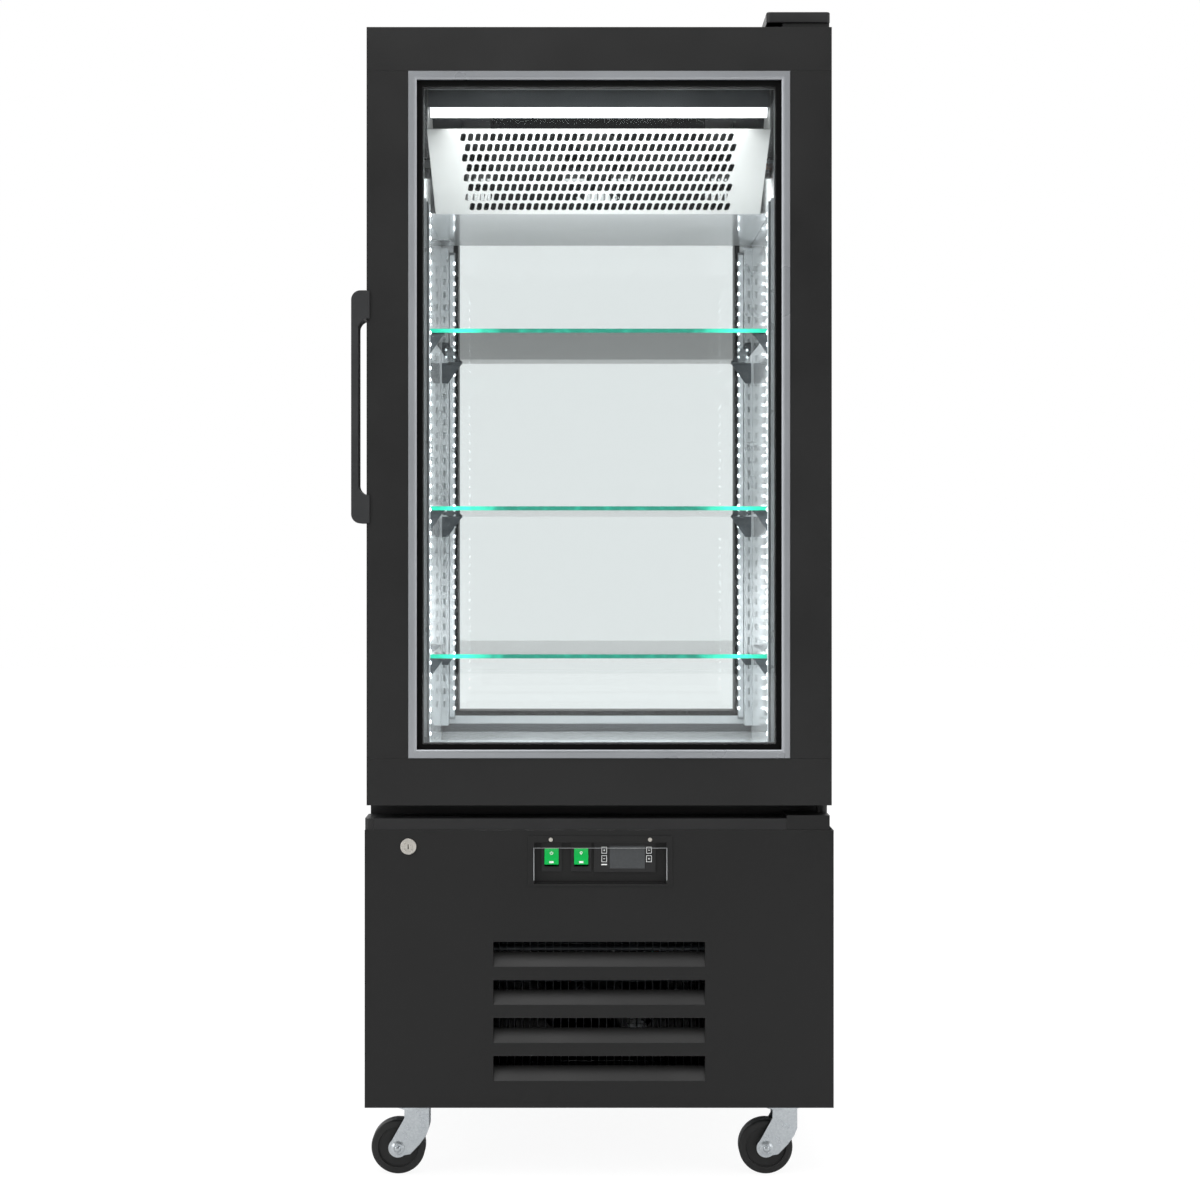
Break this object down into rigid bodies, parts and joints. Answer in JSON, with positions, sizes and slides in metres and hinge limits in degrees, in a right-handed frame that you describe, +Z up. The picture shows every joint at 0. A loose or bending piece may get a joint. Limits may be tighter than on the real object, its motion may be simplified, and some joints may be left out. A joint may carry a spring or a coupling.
{
  "type": "reach-in refrigerator",
  "caption": "Upright black refrigerated display cabinet with a glazed door, glass shelves, lit interior, louvred base and swivel casters.",
  "frame": {"origin": "floor level under the middle of the whole object's footprint", "axes": "+Z up, the door faces -Y, +X is to the right of a person facing the door"},
  "size_m": [0.6178, 0.617, 1.5051],
  "materials": {
    "black_steel": "satin black powder coat",
    "black_plastic": "fine-grained black plastic",
    "handle_plastic": "satin dark grey plastic",
    "polished_steel": "bright polished stainless steel",
    "aluminium": "satin anodised",
    "zinc_steel": "bright zinc plated",
    "bracket_steel": "dull zinc plated",
    "nickel": "satin nickel",
    "cover_paint": "light grey satin paint",
    "foam": "rigid foam",
    "clear_glass": "clear float glass",
    "shelf_glass": "clear float glass with green edges",
    "spacer_black": "black warm-edge spacer",
    "gasket_rubber": "soft magnetic seal",
    "lamp_white": "opal diffuser, lit",
    "green_plastic": "translucent green, lit",
    "display_dark": "smoked window",
    "grey_plastic": "light grey plastic",
    "white_plastic": "natural acetal",
    "copper": "drawn copper",
    "fan_plastic": "glass-filled plastic",
    "black_enamel": "gloss black enamel",
    "fin_aluminium": "mill finish fins",
    "wheel_rubber": "black rubber tread"
  },
  "bodies": {
    "cabinet": {"base_plates": "zinc_steel", "base_side_panels": "black_steel", "base_front_panel": "black_steel", "base_rear_grille": "black_steel", "front_ledge": "black_plastic", "front_frame": "black_plastic", "cabinet_side_skins": "black_steel", "wall_foam": "foam", "interior_liner": "polished_steel", "roof_cover": "black_steel", "rear_frame": "black_steel", "rear_glass": "clear_glass", "rear_spacer": "spacer_black", "rear_trim": "aluminium", "corner_uprights": "zinc_steel", "shelf_brackets": "bracket_steel", "shelf_top": "shelf_glass", "shelf_middle": "shelf_glass", "shelf_bottom": "shelf_glass", "led_channels": "aluminium", "led_diffusers": "lamp_white", "evaporator_cover": "cover_paint", "evaporator_coil": "fin_aluminium", "fan_motors": "black_enamel", "drain_set": "grey_plastic", "compressor": "black_enamel", "condenser_coil": "fin_aluminium", "refrigerant_pipes": "copper", "power_gland": "black_plastic", "control_tray": "black_steel", "control_housings": "black_plastic", "controller_window": "display_dark", "lock_body": "nickel", "hinge_brackets": "black_steel", "hinge_cover": "black_plastic", "caster_plates": "zinc_steel"},
    "door": {"door_frame": "black_steel", "door_bead": "aluminium", "door_glass": "clear_glass", "door_spacer": "spacer_black", "door_gasket": "gasket_rubber", "door_handle": "handle_plastic", "hinge_bushes": "white_plastic"},
    "lock_plug": {"lock_barrel": "nickel"},
    "power_rocker": {"rocker_power": "green_plastic"},
    "light_rocker": {"rocker_light": "green_plastic"},
    "up_key": {"key_up": "black_plastic"},
    "down_key": {"key_down": "black_plastic"},
    "light_key": {"key_light": "black_plastic"},
    "set_key": {"key_set": "black_plastic"},
    "evaporator_fan_blade": {"evaporator_fan": "fan_plastic"},
    "condenser_fan_blade": {"condenser_fan": "fan_plastic"},
    "fork_fl": {"caster_fork_fl": "zinc_steel"},
    "wheel_fl": {"caster_wheel_fl": "wheel_rubber"},
    "fork_fr": {"caster_fork_fr": "zinc_steel"},
    "wheel_fr": {"caster_wheel_fr": "wheel_rubber"},
    "fork_rl": {"caster_fork_rl": "zinc_steel"},
    "wheel_rl": {"caster_wheel_rl": "wheel_rubber"},
    "fork_rr": {"caster_fork_rr": "zinc_steel"},
    "wheel_rr": {"caster_wheel_rr": "wheel_rubber"}
  },
  "joints": [
    {"name": "door_hinge", "type": "hinge", "parent": "cabinet", "child": "door", "pos_m": [0.2969, -0.2695, 0.98], "axis": [0, 0, 1], "range_deg": [0, 110]},
    {"name": "lock_turn", "type": "hinge", "parent": "cabinet", "child": "lock_plug", "pos_m": [-0.2351, -0.2955, 0.432], "axis": [0, -1, 0], "range_deg": [0, 90]},
    {"name": "power_rocker_tilt", "type": "hinge", "parent": "cabinet", "child": "power_rocker", "pos_m": [-0.0521, -0.293, 0.4175], "axis": [1, 0, 0], "range_deg": [0, 16]},
    {"name": "light_rocker_tilt", "type": "hinge", "parent": "cabinet", "child": "light_rocker", "pos_m": [-0.0141, -0.293, 0.4175], "axis": [1, 0, 0], "range_deg": [0, 16]},
    {"name": "up_key_press", "type": "slide", "parent": "cabinet", "child": "up_key", "axis": [0, 1, 0], "range_m": [0, 0.0008], "stiffness_N_per_m": 600},
    {"name": "down_key_press", "type": "slide", "parent": "cabinet", "child": "down_key", "axis": [0, 1, 0], "range_m": [0, 0.0008], "stiffness_N_per_m": 600},
    {"name": "light_key_press", "type": "slide", "parent": "cabinet", "child": "light_key", "axis": [0, 1, 0], "range_m": [0, 0.0008], "stiffness_N_per_m": 600},
    {"name": "set_key_press", "type": "slide", "parent": "cabinet", "child": "set_key", "axis": [0, 1, 0], "range_m": [0, 0.0008], "stiffness_N_per_m": 600},
    {"name": "evaporator_fan_spin", "type": "hinge", "parent": "cabinet", "child": "evaporator_fan_blade", "pos_m": [0.0089, -0.0505, 1.345], "axis": [0, 1, 0], "continuous": true},
    {"name": "condenser_fan_spin", "type": "hinge", "parent": "cabinet", "child": "condenser_fan_blade", "pos_m": [0.0089, -0.1555, 0.238], "axis": [0, 1, 0], "continuous": true},
    {"name": "swivel_fl", "type": "hinge", "parent": "cabinet", "child": "fork_fl", "pos_m": [-0.2301, -0.2485, 0.08], "axis": [0, 0, 1], "continuous": true},
    {"name": "roll_fl", "type": "hinge", "parent": "fork_fl", "child": "wheel_fl", "pos_m": [-0.2521, -0.2485, 0.035], "axis": [0, 1, 0], "continuous": true},
    {"name": "swivel_fr", "type": "hinge", "parent": "cabinet", "child": "fork_fr", "pos_m": [0.2479, -0.2485, 0.08], "axis": [0, 0, 1], "continuous": true},
    {"name": "roll_fr", "type": "hinge", "parent": "fork_fr", "child": "wheel_fr", "pos_m": [0.2259, -0.2485, 0.035], "axis": [0, 1, 0], "continuous": true},
    {"name": "swivel_rl", "type": "hinge", "parent": "cabinet", "child": "fork_rl", "pos_m": [-0.2301, 0.2375, 0.08], "axis": [0, 0, 1], "continuous": true},
    {"name": "roll_rl", "type": "hinge", "parent": "fork_rl", "child": "wheel_rl", "pos_m": [-0.2521, 0.2375, 0.035], "axis": [0, 1, 0], "continuous": true},
    {"name": "swivel_rr", "type": "hinge", "parent": "cabinet", "child": "fork_rr", "pos_m": [0.2479, 0.2375, 0.08], "axis": [0, 0, 1], "continuous": true},
    {"name": "roll_rr", "type": "hinge", "parent": "fork_rr", "child": "wheel_rr", "pos_m": [0.2259, 0.2375, 0.035], "axis": [0, 1, 0], "continuous": true}
  ]
}
